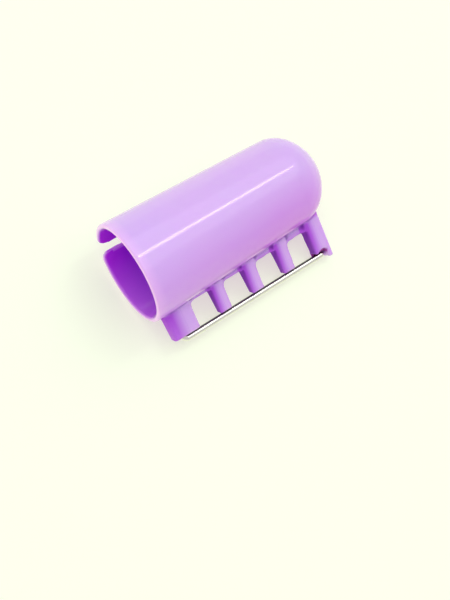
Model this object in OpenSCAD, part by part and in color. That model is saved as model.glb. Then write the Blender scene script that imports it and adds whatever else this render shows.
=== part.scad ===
// Finger guard for colour knitting.
// A moulded thimble slips over the finger tip. The comb on its side keeps the yarns apart,
// and a steel bar closes the comb's windows. Everything is modelled in a frame of its own,
// with X from the mouth to the dome along the sleeve's axis, Z along the comb and Y towards
// the side to which the bar opens, and is then laid down as the guard comes to rest.

/* [Sleeve] */
// Outer diameter at the open mouth
mouth_d = 20; // [18:0.5:24]
// Outer diameter where the domed end begins
tip_d = 17.2; // [15:0.1:17.8]
// Length of the tapered part, from the mouth to the dome
sleeve_len = 34.4; // [30:0.2:42]
// Height of the domed end
dome_h = 7.1; // [6.8:0.1:8]
// Radius of the dome's shoulder
shoulder_r = 6.4; // [5:0.1:6.6]
// Wall of the sleeve and the dome
wall = 1; // [0.8:0.1:1.3]

/* [Slit] */
// Width of the slit that lets the sleeve give
slit_w = 2.1; // [1:0.1:3]
// Length of the slit from the mouth, with its round end
slit_len = 28; // [12:0.5:29]
// Angle round the sleeve from the comb to the slit, on the side away from the bar's swing
slit_angle = 114.5; // [90:0.5:180]
// Radius of the two lips where the slit meets the mouth
lip_r = 1.6; // [0.5:0.1:3]

/* [Comb] */
// Number of yarn windows
windows = 4; // [2:1:5]
// Distance from the mouth to the first post
comb_inset = 2.35; // [1:0.05:4]
// How far the end post reaches past the start of the dome
end_overhang = 3.55; // [2:0.05:3.8]
// Width of the first post, which carries the bar's pivot
first_post_w = 5.7; // [4.2:0.1:7]
// Width of the posts between two windows
post_w = 2.8; // [2:0.1:3]
// Radius of the posts' upright edges
post_edge_r = 0.5; // [0.3:0.05:0.9]
// Width of the end post, which catches the bar
end_post_w = 3.5; // [3:0.05:4]
// Height of a window, from the rail to the posts' feet
window_h = 5.15; // [4:0.05:7]
// Height of the rail over the mouth's radius
rail_h = 0.3; // [0.2:0.05:1.5]
// Radius of the windows' corners under the rail
arch_r = 0.7; // [0.5:0.1:1.4]
// Thickness of the posts at the sleeve
root_t = 3.6; // [3:0.1:5]
// Thickness of the posts between two windows at their feet
foot_t = 2.2; // [1.8:0.1:2.8]
// Thickness of the first and the end post at their feet
end_foot_t = 2.6; // [2.2:0.1:3]
// Thickness of the rail between the posts
rail_t = 2.6; // [1.6:0.1:3]
// Radius of the fillet between the rail and the sleeve
fillet_r = 1; // [0.5:0.1:1.5]

/* [Bar] */
// Diameter of the steel wire
wire_d = 1.2; // [0.8:0.1:1.4]
// Radius of the bend, at the wire's centre line
bend_r = 1.2; // [1:0.1:1.4]
// Distance from the first post's outer side to the pivot
pivot_inset = 1.85; // [1.6:0.05:2.4]
// Length of the wire's short leg inside the first post
leg_in = 4.4; // [3:0.1:4.5]
// Gap between the leg and its bore, all round
pivot_gap = 0.05; // [0.02:0.01:0.1]
// Gap between the bend and the hollow that it turns in
bend_gap = 0.15; // [0.1:0.05:0.2]
// Gap between the bar and the posts' feet
foot_gap = 0.25; // [0.1:0.05:0.6]
// Gap between the closed bar and the catch's back
catch_gap = 0.1; // [0.05:0.05:0.3]
// Gap between the bar's tip and the catch's end wall
tip_gap = 0.25; // [0.15:0.05:0.6]
// Thickness of the catch's end wall
ear_t = 1.1; // [0.6:0.05:1.3]
// Radius of the catch's inner corner
catch_r = 0.5; // [0.2:0.1:0.8]
// How far the catch reaches below the bar
ear_drop = 0.2; // [0.1:0.05:1]

/* [Hidden] */
$fn = 96;

plastic = [0.80, 0.66, 0.93];
steel = [0.80, 0.80, 0.82];
past = 1; // how far a cutter runs past what it cuts
lip_step = 10; // degrees from one point of a lip's arc to the next
blend = 0.015; // how far a round stands proud of the flats it joins
bite = 20; // degrees at which the rail's fillet runs into what it joins

// Sleeve
mouth_r = mouth_d / 2;
tip_r = tip_d / 2;
taper = atan((mouth_r - tip_r) / sleeve_len);
shoulder = [tip_r - shoulder_r * cos(taper), sleeve_len - shoulder_r * sin(taper)];
dome_rise = sleeve_len + dome_h - shoulder[1];
crown_r = (pow(shoulder[0], 2) + pow(dome_rise, 2) - pow(shoulder_r, 2)) / (2 * (dome_rise - shoulder_r));
crown_x = sleeve_len + dome_h - crown_r;
rim_x = wall / 2 + blend;
rim = [mouth_r - wall / 2 / cos(taper) - rim_x * tan(taper), rim_x];

// Comb
comb_end = sleeve_len + end_overhang;
post_run = comb_end - comb_inset - first_post_w - end_post_w;
window_w = (post_run - (windows - 1) * post_w) / windows;
window_top = mouth_r + rail_h;
foot = window_top + window_h;
comb_root = tip_r / 2;

// Bar
bar_z = foot + foot_gap + wire_d / 2;
pivot_x = comb_inset + pivot_inset;
bend_z = bar_z - bend_r;
leg_root = foot - leg_in;
bend_inner_r = bend_r - wire_d / 2;
bend_reach = bend_r - sqrt(pow(bend_inner_r, 2) - pow(foot - bend_z, 2));
hollow_r = bend_reach + bend_gap;
ear_x = comb_end - ear_t;
ear_foot = bar_z + wire_d / 2 + ear_drop;
catch_y = wire_d / 2 + catch_gap;

// Rest: the sleeve lies on the line where its taper meets the floor, and on the catch's far corner
catch_x = comb_end - post_edge_r;
roll = atan2(end_foot_t / 2, ear_foot)
    + acos((mouth_r - catch_x * tan(taper)) / norm([ear_foot, end_foot_t / 2]));
low_x = rim_x * cos(taper) - rim[0] * sin(taper) - rim_x;
high_x = crown_x * cos(taper) + crown_r;
low_y = -ear_foot * sin(roll) - end_foot_t / 2 * cos(roll);
rest_shift = [-(low_x + high_x) / 2, -(low_y + mouth_r) / 2, mouth_r * cos(taper)];

// Lays the guard down, with its origin on the floor under the middle of its box
module at_rest() {
    translate(rest_shift)
        rotate([0, taper, 0])
            rotate([180 - roll, 0, 0])
                children();
}

// Turns a profile, drawn as radius and distance from the mouth, round the sleeve's axis
module turned() {
    rotate([0, 90, 0])
        rotate_extrude()
            children();
}

// All that lies inside the outer surface by inset or more, from front_x to the dome's top
module filled_profile(inset, front_x) {
    across = [cos(taper), sin(taper)];
    aim = (shoulder - [0, crown_x]) / norm(shoulder - [0, crown_x]);
    far = shoulder + 2 * crown_r * aim;
    polygon([
        [0, front_x],
        [mouth_r - inset / cos(taper) - front_x * tan(taper), front_x],
        shoulder + (shoulder_r - inset) * across,
        shoulder + (shoulder_r - inset) * aim,
        [0, shoulder[1]]
    ]);
    intersection() {
        translate(shoulder)
            circle(shoulder_r - inset + blend);
        translate([shoulder[0] / 2, shoulder[1] - 2 * shoulder_r])
            square(4 * shoulder_r);
    }
    intersection() {
        translate([0, crown_x])
            circle(crown_r - inset);
        polygon([[0, shoulder[1]], shoulder, far, [0, far[1]]]);
    }
}

// The wall of the sleeve and the dome, with the rim's full round at the mouth
module wall_profile() {
    difference() {
        filled_profile(0, rim[1]);
        filled_profile(wall, -past);
    }
    translate(rim)
        circle(wall / 2 + blend);
}

// One lip's arc, from the slit's side towards the mouth, on the side given by 1 or -1
function lip_arc(side) = [
    for (turn = [0 : lip_step : 90 - lip_step])
        [lip_r * (1 - sin(turn)), side * (slit_w / 2 + lip_r * (1 - cos(turn)))]
];

function reversed(list) = [for (i = [len(list) - 1 : -1 : 0]) list[i]];

// The slit, seen square on, with a round end and two rounded lips at the mouth
module slit_outline() {
    half = slit_w / 2;
    wide = [-2 * past, half + lip_r + past];
    end = slit_len - half;
    sides = [[end, -half], [end, half]];
    polygon(concat([[wide[0], -wide[1]]], reversed(lip_arc(-1)), sides, lip_arc(1), [wide]));
    translate([end, 0])
        circle(half + blend);
}

module slit() {
    rotate([slit_angle, 0, 0])
        linear_extrude(mouth_r + past)
            slit_outline();
}

// A block between x0 and x1 whose half thickness goes from root_half at the mouth's radius to foot_half
module wedge(x0, x1, root_half, foot_half, foot_z) {
    slope = (root_half - foot_half) / (foot_z - mouth_r);
    inner_half = root_half + slope * (mouth_r - comb_root);
    translate([x0, 0, 0])
        rotate([90, 0, 90])
            linear_extrude(x1 - x0)
                polygon([
                    [-inner_half, comb_root],
                    [inner_half, comb_root],
                    [foot_half, foot_z],
                    [-foot_half, foot_z]
                ]);
}

// One post of the comb, with round corners that lean together towards its foot
module post(x0, width, thickness, foot_z) {
    root_half = root_t / 2 - post_edge_r;
    foot_half = thickness / 2 - post_edge_r;
    lean = atan((root_half - foot_half) / (foot_z - mouth_r));
    skin = post_edge_r / cos(lean);
    reach = foot_z - comb_root;
    wedge(x0, x0 + width, root_half, foot_half, foot_z);
    wedge(x0 + post_edge_r, x0 + width - post_edge_r, root_half + skin, foot_half + skin, foot_z);
    intersection() {
        for (side = [-1, 1], x = [x0 + post_edge_r, x0 + width - post_edge_r])
            translate([x, side * foot_half, foot_z])
                rotate([180 + side * lean, 0, 0])
                    translate([0, 0, -post_edge_r])
                        cylinder(h = reach + post_edge_r, r = post_edge_r + blend);
        translate([x0 - past, -root_t, comb_root])
            cube([width + 2 * past, 2 * root_t, reach]);
    }
}

// One yarn window, seen square on, open at the posts' feet
module window_outline() {
    translate([0, arch_r])
        square([window_w, window_h]);
    translate([arch_r, 0])
        square([window_w - 2 * arch_r, window_h]);
    for (x = [arch_r, window_w - arch_r])
        translate([x, arch_r])
            circle(arch_r + blend);
}

// The rail that joins the posts along the sleeve
module rail() {
    run = comb_end - comb_inset - 2 * post_edge_r;
    rotate([90, 0, 0])
        linear_extrude(rail_t, center = true)
            difference() {
                translate([comb_inset + post_edge_r, comb_root])
                    square([run, window_top + arch_r - comb_root]);
                for (i = [0 : windows - 1])
                    translate([comb_inset + first_post_w + i * (window_w + post_w), window_top])
                        window_outline();
            }
}

// The fillet at the rail's foot, laid along the sleeve's tapered side
module rail_fillet() {
    centre_y = rail_t / 2 + fillet_r * cos(bite);
    apart = sqrt(pow(tip_r, 2) + pow(fillet_r, 2) + 2 * tip_r * fillet_r * cos(bite));
    centre_z = sqrt(pow(apart, 2) - pow(centre_y, 2)) - tip_r;
    edge_y = centre_y * tip_r / apart;
    start = comb_inset + post_edge_r;
    run = comb_end - end_post_w + fillet_r / 2 - start;
    translate([0, 0, mouth_r])
        rotate([0, taper, 0])
            translate([start, 0, 0])
                rotate([90, 0, 90])
                    linear_extrude(run)
                        difference() {
                            translate([-edge_y, -wall])
                                square([2 * edge_y, wall + centre_z]);
                            for (side = [-1, 1])
                                translate([side * centre_y, centre_z])
                                    circle(fillet_r);
                        }
}

module comb() {
    rail();
    rail_fillet();
    post(comb_inset, first_post_w, end_foot_t, foot);
    for (i = [1 : windows - 1])
        post(comb_inset + first_post_w + i * window_w + (i - 1) * post_w, post_w, foot_t, foot);
    post(comb_end - end_post_w, end_post_w, end_foot_t, ear_foot);
}

// The bore in the first post in which the bar's short leg turns, with a hollow for the bend at its mouth
module pivot_bore() {
    translate([pivot_x, 0, leg_root - pivot_gap])
        cylinder(h = ear_foot - leg_root, r = wire_d / 2 + pivot_gap);
    translate([pivot_x, 0, bend_z - bend_gap])
        cylinder(h = ear_foot - bend_z, r = hollow_r);
}

// The notch in the end post, open below and towards the bar's swing, with a round inner corner
module catch_notch() {
    start = comb_end - end_post_w - past;
    translate([0, root_t, foot])
        rotate([90, 0, 0])
            linear_extrude(root_t + catch_y) {
                translate([start, 0])
                    square([ear_x - catch_r - start, ear_foot]);
                translate([start, catch_r])
                    square([ear_x - start, ear_foot]);
                translate([ear_x - catch_r, catch_r])
                    circle(catch_r + blend);
            }
}

module sleeve() {
    color(plastic)
        at_rest()
            difference() {
                union() {
                    turned()
                        wall_profile();
                    // the comb ends in the middle of the wall, so that it leaves the finger's room free
                    difference() {
                        comb();
                        turned()
                            filled_profile(wall / 2, rim_x);
                    }
                }
                slit();
                pivot_bore();
                catch_notch();
            }
}

// Bent from one length of wire: a short leg in the first post, a bend and the bar under the posts
module closing_bar() {
    color(steel)
        at_rest() {
            translate([pivot_x, 0, leg_root])
                cylinder(h = bend_z - leg_root, d = wire_d);
            translate([pivot_x + bend_r, 0, bend_z])
                rotate([90, 0, 0])
                    rotate([0, 0, 90])
                        rotate_extrude(angle = 90)
                            translate([bend_r, 0])
                                circle(d = wire_d);
            translate([pivot_x + bend_r, 0, bar_z])
                rotate([0, 90, 0])
                    cylinder(h = ear_x - tip_gap - wire_d / 2 - pivot_x - bend_r, d = wire_d);
            translate([ear_x - tip_gap - wire_d / 2, 0, bar_z])
                sphere(d = wire_d);
        }
}

sleeve();
closing_bar();
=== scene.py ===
import math

import bpy
import numpy as np
from mathutils import Euler, Matrix, Vector


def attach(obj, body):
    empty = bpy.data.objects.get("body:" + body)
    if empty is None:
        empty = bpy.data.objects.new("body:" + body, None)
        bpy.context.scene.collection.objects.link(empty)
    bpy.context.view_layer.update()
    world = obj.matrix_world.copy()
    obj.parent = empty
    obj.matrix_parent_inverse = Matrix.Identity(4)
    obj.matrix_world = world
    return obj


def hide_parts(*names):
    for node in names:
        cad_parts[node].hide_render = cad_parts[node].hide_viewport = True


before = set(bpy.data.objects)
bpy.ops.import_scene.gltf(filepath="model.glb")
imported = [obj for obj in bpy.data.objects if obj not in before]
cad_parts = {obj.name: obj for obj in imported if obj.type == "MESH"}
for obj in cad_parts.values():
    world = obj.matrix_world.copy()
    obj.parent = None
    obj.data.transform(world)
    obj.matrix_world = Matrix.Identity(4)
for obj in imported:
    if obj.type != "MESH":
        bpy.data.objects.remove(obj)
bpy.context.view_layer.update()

# The camera stands above the guard's open end and looks down on it, with the picture's top
# towards the side away from the comb. Its place and turn come from a fit to the mouth's rim,
# the outline and the comb's foot line.
camera_place = (-0.077368, -0.03104, 0.249294)
camera_turn_deg = (12.9598, -10.8654, -33.8986)

camera_data = bpy.data.cameras.new("camera")
camera_data.lens = 84
camera_data.sensor_width = 36
camera_data.clip_start = 0.01
camera = bpy.data.objects.new("camera", camera_data)
bpy.context.scene.collection.objects.link(camera)
camera_turn = Euler([math.radians(angle) for angle in camera_turn_deg])
camera.matrix_world = Matrix.Translation(camera_place) @ camera_turn.to_matrix().to_4x4()
bpy.context.scene.camera = camera

# The sleeve is one moulded piece of glossy lavender plastic: a tapered, slit tube with a domed
# end and a comb along one side. The CAD solid has its shape; a mould gives every edge a small
# radius, so a copy of it is remeshed finely, softened and laid back on its exact round surfaces.
mm = 0.001
mouth_r = 10
tip_r = 8.6
sleeve_len = 34.4
dome_h = 7.1
shoulder_r = 6.4
wall = 1
rim_x = 0.515
window_top = 10.3
foot = 15.45
ear_foot = 17.1
end_foot_half = 1.3
catch_x = 37.45
catch_wall_x = 36.95
bar_z = 16.3
pivot_x = 4.2
bore_r = 0.66
bore_low_z = 11.2
bore_high_z = 14.6
post_starts = (2.35, 12.55, 19.85, 27.15, 34.45)
post_widths = (5.7, 2.8, 2.8, 2.8, 3.5)
first_post_x = post_starts[0]
end_post_x = post_starts[-1]
pocket_x = 36.15
pocket_z = 15.4
pocket_half_length = 0.95
pocket_half_height = 0.55
pocket_depth = 0.6
voxel = 0.262
soft_rounds = 14

taper = math.atan((mouth_r - tip_r) / sleeve_len)
shoulder_y = tip_r - shoulder_r * math.cos(taper)
shoulder_x = sleeve_len - shoulder_r * math.sin(taper)
dome_rise = sleeve_len + dome_h - shoulder_x
crown_r = (shoulder_y**2 + dome_rise**2 - shoulder_r**2) / (2 * (dome_rise - shoulder_r))
crown_x = sleeve_len + dome_h - crown_r
rim_r = mouth_r - wall / 2 / math.cos(taper) - rim_x * math.tan(taper)

# the guard lies on the sleeve's side and on the catch's corner
roll = math.atan2(end_foot_half, ear_foot) + math.acos(
    (mouth_r - catch_x * math.tan(taper)) / math.hypot(ear_foot, end_foot_half)
)
rest_turn = Matrix.Rotation(taper, 3, "Y") @ Matrix.Rotation(math.pi - roll, 3, "X")
low_x = rim_x * math.cos(taper) - rim_r * math.sin(taper) - rim_x
high_x = crown_x * math.cos(taper) + crown_r
low_y = -ear_foot * math.sin(roll) - end_foot_half * math.cos(roll)
rest_shift = Vector((-(low_x + high_x) / 2, -(low_y + mouth_r) / 2, mouth_r * math.cos(taper)))


def select_only(piece):
    bpy.ops.object.select_all(action="DESELECT")
    piece.select_set(True)
    bpy.context.view_layer.objects.active = piece


def apply_modifier(piece, kind, **settings):
    select_only(piece)
    bpy.ops.object.modifier_add(type=kind)
    modifier = piece.modifiers[-1]
    for name, value in settings.items():
        setattr(modifier, name, value)
    bpy.ops.object.modifier_apply(modifier=modifier.name)


def read_points(mesh):
    points = np.empty(len(mesh.vertices) * 3)
    mesh.vertices.foreach_get("co", points)
    return points.reshape(-1, 3)


def write_points(mesh, points):
    mesh.vertices.foreach_set("co", points.astype(np.float32).ravel())
    mesh.update()


turn_rows = np.array(rest_turn)
shift_row = np.array(rest_shift)


def to_guard(points):
    """From metres in the frame to millimetres along the sleeve, to the bar's swing and along the comb."""
    return (points / mm - shift_row) @ turn_rows


def to_frame(points):
    return (points @ turn_rows.T + shift_row) * mm


def guard_normals(mesh):
    normals = np.empty(len(mesh.vertices) * 3)
    mesh.vertices.foreach_get("normal", normals)
    return normals.reshape(-1, 3) @ turn_rows


def ramp(values, zero_at, one_at):
    """Goes evenly from 0 at one value to 1 at the other, and stays there beyond them."""
    return np.clip((values - zero_at) / (one_at - zero_at), 0, 1)


def outside_distance(x, r):
    """How far a point lies outside the sleeve's outer surface, and the way out along x and along r."""
    cone = (r - (mouth_r - x * math.tan(taper))) * math.cos(taper)
    to_shoulder = np.hypot(r - shoulder_y, x - shoulder_x)
    to_crown = np.hypot(r, x - crown_x)
    on_crown = (x - crown_x) * shoulder_y > r * (shoulder_x - crown_x)
    on_cone = (x - shoulder_x) * math.cos(taper) - (r - shoulder_y) * math.sin(taper) < 0
    distance = np.where(on_cone, cone, np.where(on_crown, to_crown - crown_r, to_shoulder - shoulder_r))
    round_x = np.where(on_crown, (x - crown_x) / to_crown, (x - shoulder_x) / to_shoulder)
    round_r = np.where(on_crown, r / to_crown, (r - shoulder_y) / to_shoulder)
    return distance, np.where(on_cone, math.sin(taper), round_x), np.where(on_cone, math.cos(taper), round_r)


def lay_on_surface(points):
    """Moves what the remesh left a hair off the round surfaces back onto them."""
    x = points[:, 0]
    r = np.maximum(np.hypot(points[:, 1], points[:, 2]), 1e-6)
    spin = points[:, 1:] / r[:, None]
    distance, out_x, out_r = outside_distance(x, r)
    behind_rim = x > rim_x
    for level in (0.0, -wall):
        off = distance - level
        near = ramp(np.abs(off), 0.07, 0.03) * behind_rim
        x = x - off * near * out_x
        r = r - off * near * out_r
    from_rim = np.hypot(r - rim_r, x - rim_x)
    off = from_rim - wall / 2
    near = ramp(np.abs(off), 0.1, 0.05) * ~behind_rim
    x = x - off * near * (x - rim_x) / from_rim
    r = r - off * near * (r - rim_r) / from_rim
    laid = np.column_stack([x, spin * r[:, None]])
    # the pivot's bore
    from_pivot = np.hypot(laid[:, 0] - pivot_x, laid[:, 1])
    in_bore = (np.abs(from_pivot - bore_r) < 0.15) & (laid[:, 2] > bore_low_z) & (laid[:, 2] < bore_high_z)
    scale = np.where(in_bore, bore_r / np.maximum(from_pivot, 1e-6), 1)
    laid[:, 0] = pivot_x + (laid[:, 0] - pivot_x) * scale
    laid[:, 1] = laid[:, 1] * scale
    return laid


sleeve_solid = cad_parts["sleeve"]
sleeve = bpy.data.objects.new("moulded_sleeve", sleeve_solid.data.copy())
bpy.context.scene.collection.objects.link(sleeve)
select_only(sleeve)
bpy.ops.object.mode_set(mode="EDIT")
bpy.ops.mesh.select_all(action="SELECT")
bpy.ops.mesh.remove_doubles(threshold=1e-6)
bpy.ops.object.mode_set(mode="OBJECT")
apply_modifier(sleeve, "REMESH", mode="VOXEL", voxel_size=voxel * mm, use_smooth_shade=True)
write_points(sleeve.data, to_frame(lay_on_surface(to_guard(read_points(sleeve.data)))))
apply_modifier(sleeve, "SMOOTH", factor=0.5, iterations=4)
write_points(sleeve.data, to_frame(lay_on_surface(to_guard(read_points(sleeve.data)))))

ends = np.empty(len(sleeve.data.edges) * 2, dtype=np.int64)
sleeve.data.edges.foreach_get("vertices", ends)
ends = ends.reshape(-1, 2)
neighbours = np.bincount(ends.ravel()).astype(float)


def around(values):
    """The mean of each point's neighbours."""
    total = np.zeros_like(values)
    np.add.at(total, ends[:, 0], values[ends[:, 1]])
    np.add.at(total, ends[:, 1], values[ends[:, 0]])
    return total / (neighbours if values.ndim == 1 else neighbours[:, None])


# the posts are the roundest part of the moulding: their edges run into one another
points = to_guard(read_points(sleeve.data))
x, y, z = points.T
soft = ramp(z, window_top - 0.5, window_top) * ramp(z, foot - 0.1, foot - 0.6)
soft *= ramp(x, end_post_x + 1.2, end_post_x + 0.7)
soft *= ramp(np.hypot(x - pivot_x, y), 1, 1.3)
for _ in range(soft_rounds):
    points = points + (around(points) - points) * soft[:, None] / 2
# a shallow pocket over the bar's tip leads it into the catch
from_pocket = np.hypot((x - pocket_x) / pocket_half_length, (z - pocket_z) / pocket_half_height)
pocket_and_shade = ramp(from_pocket, 1, 0.65) * (y > 0.4) * (z < foot + 0.1)
points[:, 1] -= pocket_and_shade * pocket_depth
write_points(sleeve.data, to_frame(points))
select_only(sleeve)
bpy.ops.object.shade_smooth()

# how strongly each point stands on an edge or in a crease, from the millimetres by which it
# stands out from its neighbours, for a pale line of painted light along the plastic's thin edges
# and a deep line of painted shade in its corners
points = to_guard(read_points(sleeve.data))
normals = guard_normals(sleeve.data)
bulge = ((points - around(points)) * normals).sum(1)
for _ in range(3):
    bulge = (bulge + around(bulge)) / 2
painted_edge_light = ramp(bulge, 0.0078, 0.0338)
painted_crease_shade = ramp(-bulge, 0.0026, 0.0182)

# The tones of the plastic are painted from its form: most of these masks paint light or shade
# into the base colour. Each mask goes from 0 to 1. Its limits are millimetres from the mouth (x),
# towards the comb's feet (z), to the side (y) or out of the surface, and across counts in widths of a post.
x, y, z = points.T
r = np.hypot(y, z)
distance, _, _ = outside_distance(x, r)
# painted light and shade: the inner wall and the slit's cut faces are painted a deep violet for the light
# that runs through the wall, darker towards the dome and paler low on the comb's side
inside = ramp(distance, -0.4, -0.9) * ramp(x, -0.1, 0.4)
straight_out = np.abs(normals[:, 1] * y + normals[:, 2] * z) / r
cut_face = ramp(straight_out, 0.6, 0.3) * ramp(x, 0.8, 1.3) * (distance > -1.1)
inside = np.maximum(inside, cut_face * ramp(distance, -0.1, -0.4))
painted_deep_shade = ramp(x, 1, 13) * inside
painted_low_light = ramp(z, -1, 8) * (inside - painted_deep_shade * 0.6)
# painted light: the rim is painted pale, and the paleness fades along the outer wall
rim_light_band = 2.2
painted_rim_light = ramp(x, 0.45, 0.05) * ramp(distance, -0.9, -0.6)
painted_rim_light_tail = ramp(x, rim_light_band, 0.4) * ramp(distance, -0.4, -0.1)
painted_rim_light = np.maximum(painted_rim_light, 0.3 * painted_rim_light_tail)
painted_edge_light = np.where(x < rim_light_band, painted_rim_light, painted_edge_light * 0.6)
# painted shade: the posts are painted deep on the side towards the mouth and a little so on the far side,
# with a dark line along the mouth side of each post, and the rail under the sleeve darkens towards the
# windows
comb = ramp(z - mouth_r + x * math.tan(taper), -0.3, 0.3) * (np.abs(y) < 2.6)
painted_flank_shade = ramp(z, window_top - 1.1, window_top + 0.2) * 0.75
far_edge_shade = np.zeros(len(x))
for start, width in zip(post_starts, post_widths):
    across = (x - start) / width
    on_post = ramp(across, -0.4, -0.3) * ramp(across, 1.15, 1.05)
    reach = 0.62
    if start != first_post_x:
        reach = 0.55
        painted_crease_shade = np.maximum(painted_crease_shade, ramp(across, 0.1, 0) * on_post * (z > window_top))
        far_edge_shade = np.maximum(far_edge_shade, ramp(across, 0.7, 0.95) * on_post * (z > window_top))
    shade = ramp(across, reach, reach - 0.4) * (1 - 0.2 * ramp(z, 11, 15))
    painted_flank_shade = painted_flank_shade * (1 - on_post) + shade * on_post
painted_flank_shade = np.maximum(painted_flank_shade, 0.2 * far_edge_shade) * comb
# painted shade: the outer wall is painted darker and pinker towards the comb and the dome
painted_comb_side_shade = ramp(z, -3, 7) * ramp(x, -22, 28) * (1 - comb) * (1 - inside)
# painted shade: the catch's notch and the pocket around the bar's tip are painted a dark magenta
in_notch = (z > foot - 0.05) & (x > end_post_x - 0.1) & (x < catch_wall_x) & (y > -0.85)
pocket_and_shade = np.maximum(pocket_and_shade, in_notch * ramp(z, bar_z, bar_z - 0.6))
# the comb shades the wall that it stands on, and no pale outline shows there
root = ramp(z, 6, 8) * ramp(np.abs(y), 6.2, 4.2) * (1 - inside) * ramp(x, 1, 2)
painted_edge_light = painted_edge_light * (1 - root) * (1 - np.clip(painted_flank_shade * 1.5, 0, 1))
shaded = ramp(np.abs(y), 3.9, 2.7) * root * (1 - comb)
masks = {
    "painted_comb_side_shade": painted_comb_side_shade,
    "comb": comb,
    "painted_flank_shade": painted_flank_shade,
    "painted_crease_shade": painted_crease_shade,
    "inside": inside,
    "painted_deep_shade": painted_deep_shade,
    "painted_low_light": painted_low_light,
    "painted_edge_light": painted_edge_light,
    "root": root,
    "shaded": shaded,
    "pocket_and_shade": pocket_and_shade,
}
for name, values in masks.items():
    layer = sleeve.data.attributes.new(name, "FLOAT", "POINT")
    layer.data.foreach_set("value", values.astype(np.float32))


def linear(red, green, blue):
    """A display colour, 0 to 255, as the shader takes it."""
    tone = [((c / 255 + 0.055) / 1.055) ** 2.4 if c > 10 else c / 255 / 12.92 for c in (red, green, blue)]
    return tone + [1.0]


def new_group(name, inputs, outputs):
    group = bpy.data.node_groups.new(name, "ShaderNodeTree")
    for label, kind in inputs:
        group.interface.new_socket(label, in_out="INPUT", socket_type=kind)
    for label, kind in outputs:
        group.interface.new_socket(label, in_out="OUTPUT", socket_type=kind)
    return group, group.nodes.new("NodeGroupInput"), group.nodes.new("NodeGroupOutput")


def add_node(tree, kind, **settings):
    node = tree.nodes.new(kind)
    for name, value in settings.items():
        setattr(node, name, value)
    return node


# soft clouds of a second colour, as pigment drifts in a moulded piece
tint, tint_in, tint_out = new_group(
    "pigment drift",
    [
        ("Colour", "NodeSocketColor"),
        ("Drift", "NodeSocketColor"),
        ("Scale", "NodeSocketFloat"),
        ("Amount", "NodeSocketFloat"),
    ],
    [("Colour", "NodeSocketColor")],
)
tint_place = add_node(tint, "ShaderNodeTexCoord")
tint_noise = add_node(tint, "ShaderNodeTexNoise")
tint_noise.inputs["Detail"].default_value = 2
tint_range = add_node(tint, "ShaderNodeMapRange")
tint_range.inputs["From Min"].default_value = 0.35
tint_range.inputs["From Max"].default_value = 0.7
tint_weight = add_node(tint, "ShaderNodeMath", operation="MULTIPLY")
tint_mix = add_node(tint, "ShaderNodeMix", data_type="RGBA")
tint.links.new(tint_place.outputs["Object"], tint_noise.inputs["Vector"])
tint.links.new(tint_in.outputs["Scale"], tint_noise.inputs["Scale"])
tint.links.new(tint_noise.outputs["Fac"], tint_range.inputs["Value"])
tint.links.new(tint_range.outputs["Result"], tint_weight.inputs[0])
tint.links.new(tint_in.outputs["Amount"], tint_weight.inputs[1])
tint.links.new(tint_weight.outputs["Value"], tint_mix.inputs["Factor"])
tint.links.new(tint_in.outputs["Colour"], tint_mix.inputs["A"])
tint.links.new(tint_in.outputs["Drift"], tint_mix.inputs["B"])
tint.links.new(tint_mix.outputs["Result"], tint_out.inputs["Colour"])

# the faint ripple of a surface that cooled in its mould, and finer scuffs from handling
skin, skin_in, skin_out = new_group(
    "surface wear",
    [
        ("Roughness", "NodeSocketFloat"),
        ("Scuff", "NodeSocketFloat"),
        ("Ripple Scale", "NodeSocketFloat"),
        ("Scuff Scale", "NodeSocketFloat"),
    ],
    [("Roughness", "NodeSocketFloat"), ("Height", "NodeSocketFloat")],
)
skin_place = add_node(skin, "ShaderNodeTexCoord")
skin_ripple = add_node(skin, "ShaderNodeTexNoise")
skin_ripple.inputs["Detail"].default_value = 1
skin_scuff = add_node(skin, "ShaderNodeTexNoise")
skin_scuff.inputs["Detail"].default_value = 6
skin_scuff.inputs["Roughness"].default_value = 0.65
skin_worn = add_node(skin, "ShaderNodeMapRange")
skin_worn.inputs["From Min"].default_value = 0.45
skin_worn.inputs["From Max"].default_value = 0.75
skin_amount = add_node(skin, "ShaderNodeMath", operation="MULTIPLY")
skin_add = add_node(skin, "ShaderNodeMath", operation="ADD")
skin_fine = add_node(skin, "ShaderNodeMath", operation="MULTIPLY")
skin_fine.inputs[1].default_value = 0.12
skin_height = add_node(skin, "ShaderNodeMath", operation="ADD")
skin.links.new(skin_place.outputs["Object"], skin_ripple.inputs["Vector"])
skin.links.new(skin_place.outputs["Object"], skin_scuff.inputs["Vector"])
skin.links.new(skin_in.outputs["Ripple Scale"], skin_ripple.inputs["Scale"])
skin.links.new(skin_in.outputs["Scuff Scale"], skin_scuff.inputs["Scale"])
skin.links.new(skin_scuff.outputs["Fac"], skin_worn.inputs["Value"])
skin.links.new(skin_worn.outputs["Result"], skin_amount.inputs[0])
skin.links.new(skin_in.outputs["Scuff"], skin_amount.inputs[1])
skin.links.new(skin_in.outputs["Roughness"], skin_add.inputs[0])
skin.links.new(skin_amount.outputs["Value"], skin_add.inputs[1])
skin.links.new(skin_add.outputs["Value"], skin_out.inputs["Roughness"])
skin.links.new(skin_scuff.outputs["Fac"], skin_fine.inputs[0])
skin.links.new(skin_ripple.outputs["Fac"], skin_height.inputs[0])
skin.links.new(skin_fine.outputs["Value"], skin_height.inputs[1])
skin.links.new(skin_height.outputs["Value"], skin_out.inputs["Height"])


def add_drift(tree, colour, second, scale, amount):
    drift = add_node(tree, "ShaderNodeGroup", node_tree=tint)
    drift.inputs["Colour"].default_value = colour
    drift.inputs["Drift"].default_value = second
    drift.inputs["Scale"].default_value = scale
    drift.inputs["Amount"].default_value = amount
    return drift.outputs["Colour"]


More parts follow.
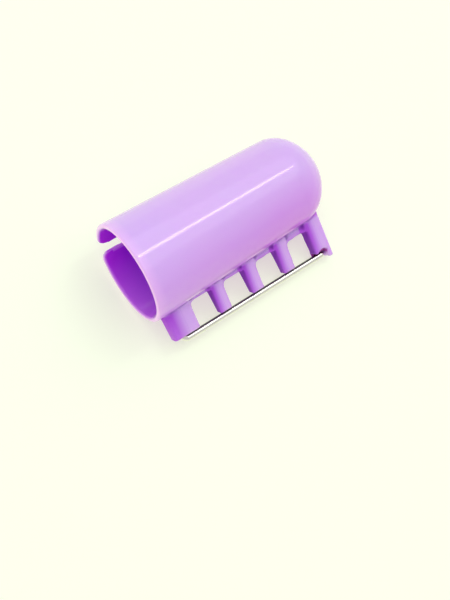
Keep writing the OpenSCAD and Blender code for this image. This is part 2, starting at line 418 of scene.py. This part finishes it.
def add_wear(tree, shader, scuff, ripple_scale, scuff_scale, strength, height):
    """Wears the shader's surface, and gives the node whose own roughness is still to be set."""
    wear = add_node(tree, "ShaderNodeGroup", node_tree=skin)
    wear.inputs["Scuff"].default_value = scuff
    wear.inputs["Ripple Scale"].default_value = ripple_scale
    wear.inputs["Scuff Scale"].default_value = scuff_scale
    bump = add_node(tree, "ShaderNodeBump")
    bump.inputs["Strength"].default_value = strength
    bump.inputs["Distance"].default_value = height
    tree.links.new(wear.outputs["Roughness"], shader.inputs["Roughness"])
    tree.links.new(wear.outputs["Height"], bump.inputs["Height"])
    tree.links.new(bump.outputs["Normal"], shader.inputs["Normal"])
    return wear


plastic = bpy.data.materials.new("lavender plastic")
plastic.use_nodes = True
tree = plastic.node_tree
shader = tree.nodes["Principled BSDF"]
shader.inputs["IOR"].default_value = 1.5
shader.inputs["Specular IOR Level"].default_value = 0.5
shader.inputs["Subsurface Weight"].default_value = 0.35
shader.inputs["Subsurface Radius"].default_value = (1.0, 0.6, 1.1)
shader.inputs["Subsurface Scale"].default_value = 0.0014

colour = add_drift(tree, linear(219, 184, 252), linear(226, 182, 249), 45, 0.6)
# painted light and shade: apart from the comb's own tone, each of these tones paints shade or light into the
# base colour: shade on the lower outer wall, under the comb, on the posts' sides, in creases, deep inside
# and in the catch; light inside low down and along the thin edges
for name, tone, share in (
    ("painted_comb_side_shade", linear(216, 106, 236), 0.75),
    ("comb", linear(224, 178, 252), 0.8),
    ("shaded", linear(180, 90, 225), 0.4),
    ("painted_flank_shade", linear(178, 52, 226), 0.86),
    ("painted_crease_shade", linear(110, 8, 160), 0.75),
    ("inside", linear(200, 34, 244), 0.97),
    ("painted_deep_shade", linear(150, 4, 220), 0.92),
    ("painted_low_light", linear(214, 120, 255), 0.9),
    ("painted_edge_light", linear(255, 206, 255), 0.85),
    ("pocket_and_shade", linear(160, 16, 150), 0.95),
):
    mask = add_node(tree, "ShaderNodeAttribute", attribute_name=name)
    weight = add_node(tree, "ShaderNodeMath", operation="MULTIPLY")
    weight.inputs[1].default_value = share
    mix = add_node(tree, "ShaderNodeMix", data_type="RGBA")
    mix.inputs["B"].default_value = tone
    tree.links.new(mask.outputs["Fac"], weight.inputs[0])
    tree.links.new(weight.outputs["Value"], mix.inputs["Factor"])
    tree.links.new(colour, mix.inputs["A"])
    colour = mix.outputs["Result"]
# a pale pink outline at grazing angles stands for light that has run through the thin wall
outline = add_node(tree, "ShaderNodeLayerWeight")
outline.inputs["Blend"].default_value = 0.5
outline_range = add_node(tree, "ShaderNodeMapRange", interpolation_type="SMOOTHSTEP")
outline_range.inputs["From Min"].default_value = 0.72
outline_range.inputs["From Max"].default_value = 0.97
outline_range.inputs["To Max"].default_value = 0.7
outline_mix = add_node(tree, "ShaderNodeMix", data_type="RGBA")
outline_mix.inputs["B"].default_value = linear(252, 222, 252)
near_root = add_node(tree, "ShaderNodeAttribute", attribute_name="root")
clear_of_root = add_node(tree, "ShaderNodeMath", operation="SUBTRACT")
clear_of_root.inputs[0].default_value = 1
outline_share = add_node(tree, "ShaderNodeMath", operation="MULTIPLY")
tree.links.new(outline.outputs["Facing"], outline_range.inputs["Value"])
tree.links.new(near_root.outputs["Fac"], clear_of_root.inputs[1])
tree.links.new(clear_of_root.outputs["Value"], outline_share.inputs[0])
tree.links.new(outline_range.outputs["Result"], outline_share.inputs[1])
tree.links.new(outline_share.outputs["Value"], outline_mix.inputs["Factor"])
tree.links.new(colour, outline_mix.inputs["A"])
tree.links.new(outline_mix.outputs["Result"], shader.inputs["Base Color"])

# a painted glow: the pale edges and the rim give off a little light of their own, standing for the same
# light through the wall
painted_edge_light_mask = add_node(tree, "ShaderNodeAttribute", attribute_name="painted_edge_light")
painted_glow = add_node(tree, "ShaderNodeMix", data_type="RGBA")
painted_glow.inputs["A"].default_value = (0, 0, 0, 1)
painted_glow.inputs["B"].default_value = (0.1, 0.04, 0.11, 1)
tree.links.new(painted_edge_light_mask.outputs["Fac"], painted_glow.inputs["Factor"])
tree.links.new(painted_glow.outputs["Result"], shader.inputs["Emission Color"])
shader.inputs["Emission Strength"].default_value = 1

# the posts' sides towards the mouth are duller than the rest
wear = add_wear(tree, shader, 0.05, 260, 2600, 0.12, 0.00004)
painted_flank_shade_mask = add_node(tree, "ShaderNodeAttribute", attribute_name="painted_flank_shade")
roughness = add_node(tree, "ShaderNodeMapRange")
roughness.inputs["To Min"].default_value = 0.13
roughness.inputs["To Max"].default_value = 0.95
tree.links.new(painted_flank_shade_mask.outputs["Fac"], roughness.inputs["Value"])
tree.links.new(roughness.outputs["Result"], wear.inputs["Roughness"])

sleeve.data.materials.clear()
sleeve.data.materials.append(plastic)
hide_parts("sleeve")
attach(sleeve, "sleeve")

# The closing bar is one length of bright drawn steel wire, bent once over a former. Its short leg
# turns in the first post, and its long leg lies under the posts with its tip in the catch. The
# tip is ground round, and handling leaves faint scuffs on the wire.
wire_r = 0.6
bend_r = 1.2
bend_z = bar_z - bend_r
leg_root = 11.05
bar_end = 36.6
leg_len = bar_end - wire_r - pivot_x - bend_r
round_points = 40
bend_steps = 20
leg_steps = 12
tip_steps = 6
tip_flat = 0.02


def extrude(x, z):
    bpy.ops.mesh.extrude_region_move(TRANSFORM_OT_translate={"value": (x * mm, 0, z * mm)})


bpy.ops.object.select_all(action="DESELECT")
bpy.ops.mesh.primitive_circle_add(
    vertices=round_points,
    radius=wire_r * mm,
    fill_type="NGON",
    location=(pivot_x * mm, 0, leg_root * mm),
)
bar = bpy.context.object
bar.name = "steel_bar"
bpy.ops.object.transform_apply(location=True, rotation=True, scale=True)
bpy.ops.object.mode_set(mode="EDIT")
bpy.ops.mesh.select_all(action="SELECT")
extrude(0, bend_z - leg_root)
bpy.ops.mesh.spin(
    steps=bend_steps,
    angle=math.radians(-90),
    center=((pivot_x + bend_r) * mm, 0, bend_z * mm),
    axis=(0, 1, 0),
)
for _ in range(leg_steps):
    extrude(leg_len / leg_steps, 0)
for step in range(1, tip_steps + 1):
    before = math.radians(90 * (step - 1) / tip_steps)
    after = math.radians(90 * step / tip_steps)
    extrude(wire_r * (math.sin(after) - math.sin(before)), 0)
    narrower = max(math.cos(after), tip_flat) / math.cos(before)
    bpy.ops.transform.resize(value=(1, narrower, narrower))
bpy.ops.mesh.select_all(action="SELECT")
bpy.ops.mesh.remove_doubles(threshold=1e-7)
bpy.ops.mesh.normals_make_consistent(inside=False)
bpy.ops.object.mode_set(mode="OBJECT")
write_points(bar.data, to_frame(read_points(bar.data) / mm))
select_only(bar)
bpy.ops.object.shade_smooth_by_angle(angle=math.radians(40))

# painted shade and reflection: the wire's side towards the posts is painted darker than the rest, for the
# shadow under the posts and the dark plastic that it mirrors
inward = -guard_normals(bar.data)[:, 2]
painted_dark_reflection_layer = bar.data.attributes.new("painted_dark_reflection", "FLOAT", "POINT")
painted_dark_reflection_layer.data.foreach_set("value", ramp(inward, 0.45, 0.75).astype(np.float32))

steel = bpy.data.materials.new("bright steel wire")
steel.use_nodes = True
tree = steel.node_tree
shader = tree.nodes["Principled BSDF"]
shader.inputs["Metallic"].default_value = 1.0
bright = add_drift(tree, linear(240, 238, 226), linear(220, 218, 205), 900, 0.5)
wear = add_wear(tree, shader, 0.04, 500, 1500, 0.05, 0.00001)
wear.inputs["Roughness"].default_value = 0.24
painted_dark_reflection_mask = add_node(tree, "ShaderNodeAttribute", attribute_name="painted_dark_reflection")
painted_dark_reflection_mix = add_node(tree, "ShaderNodeMix", data_type="RGBA")
painted_dark_reflection_mix.inputs["B"].default_value = linear(118, 136, 108)
tree.links.new(painted_dark_reflection_mask.outputs["Fac"], painted_dark_reflection_mix.inputs["Factor"])
tree.links.new(bright, painted_dark_reflection_mix.inputs["A"])
tree.links.new(painted_dark_reflection_mix.outputs["Result"], shader.inputs["Base Color"])
bar.data.materials.append(steel)
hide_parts("closing_bar")
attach(bar, "bar")

# The floor is a sheet of pale cream card, wide enough to fill the picture from every side. It
# shines a little by itself, so that it stays pale in the guard's shadow.
floor_width = 3

bpy.ops.object.select_all(action="DESELECT")
bpy.ops.mesh.primitive_plane_add(size=floor_width, location=(0, 0, 0))
floor = bpy.context.object
floor.name = "floor"
card = bpy.data.materials.new("cream card")
card.use_nodes = True
shader = card.node_tree.nodes["Principled BSDF"]
shader.inputs["Roughness"].default_value = 0.9
shader.inputs["Specular IOR Level"].default_value = 0.1
shader.inputs["Base Color"].default_value = (0.55, 0.62, 0.47, 1)
shader.inputs["Emission Color"].default_value = (1.0, 1.0, 0.86, 1)
shader.inputs["Emission Strength"].default_value = 0.48
floor.data.materials.append(card)

# Studio light: a white room that is a little dimmer over the dome than low at the mouth, a large
# soft key high over the side away from the comb for the shadows, and a narrow strip whose
# reflection draws the long thin highlight along the sleeve.
dim_side = Vector((0.6, 0.12, 0.75)).normalized()
room_bright = 0.7
room_dim = 0.625

world = bpy.data.worlds.new("studio")
bpy.context.scene.world = world
world.use_nodes = True
tree = world.node_tree
room = tree.nodes["Background"]
room.inputs["Color"].default_value = (1, 1, 1, 1)
room_way = add_node(tree, "ShaderNodeTexCoord")
towards_dim = add_node(tree, "ShaderNodeVectorMath", operation="DOT_PRODUCT")
towards_dim.inputs[1].default_value = dim_side
grade = add_node(tree, "ShaderNodeMapRange", interpolation_type="SMOOTHSTEP")
grade.inputs["From Min"].default_value = -0.8
grade.inputs["From Max"].default_value = 0.9
grade.inputs["To Min"].default_value = room_bright
grade.inputs["To Max"].default_value = room_dim
tree.links.new(room_way.outputs["Generated"], towards_dim.inputs[0])
tree.links.new(towards_dim.outputs["Value"], grade.inputs["Value"])
tree.links.new(grade.outputs["Result"], room.inputs["Strength"])


def add_light(name, place, target, width, height, watts, along=None):
    data = bpy.data.lights.new(name, "AREA")
    data.shape = "RECTANGLE"
    data.size = width
    data.size_y = height
    data.energy = watts
    light = bpy.data.objects.new(name, data)
    bpy.context.scene.collection.objects.link(light)
    back = (Vector(place) - Vector(target)).normalized()
    if along is None:
        turn = back.to_track_quat("Z", "Y").to_matrix()
    else:
        side = (Vector(along) - Vector(along).dot(back) * back).normalized()
        turn = Matrix((side, back.cross(side), back)).transposed()
    light.matrix_world = Matrix.Translation(place) @ turn.to_4x4()


add_light("key", place=(0.27, 0.32, 1.12), target=(0, 0, 0.01), width=1.5, height=1.5, watts=6.2)
add_light(
    "strip",
    place=(0.269, 0.108, 0.5445),
    target=(0, 0.003, 0.0195),
    width=0.17,
    height=0.036,
    watts=0.25,
    along=(0.95, 0.04, -0.31),
)

bpy.context.scene.view_settings.view_transform = "Standard"
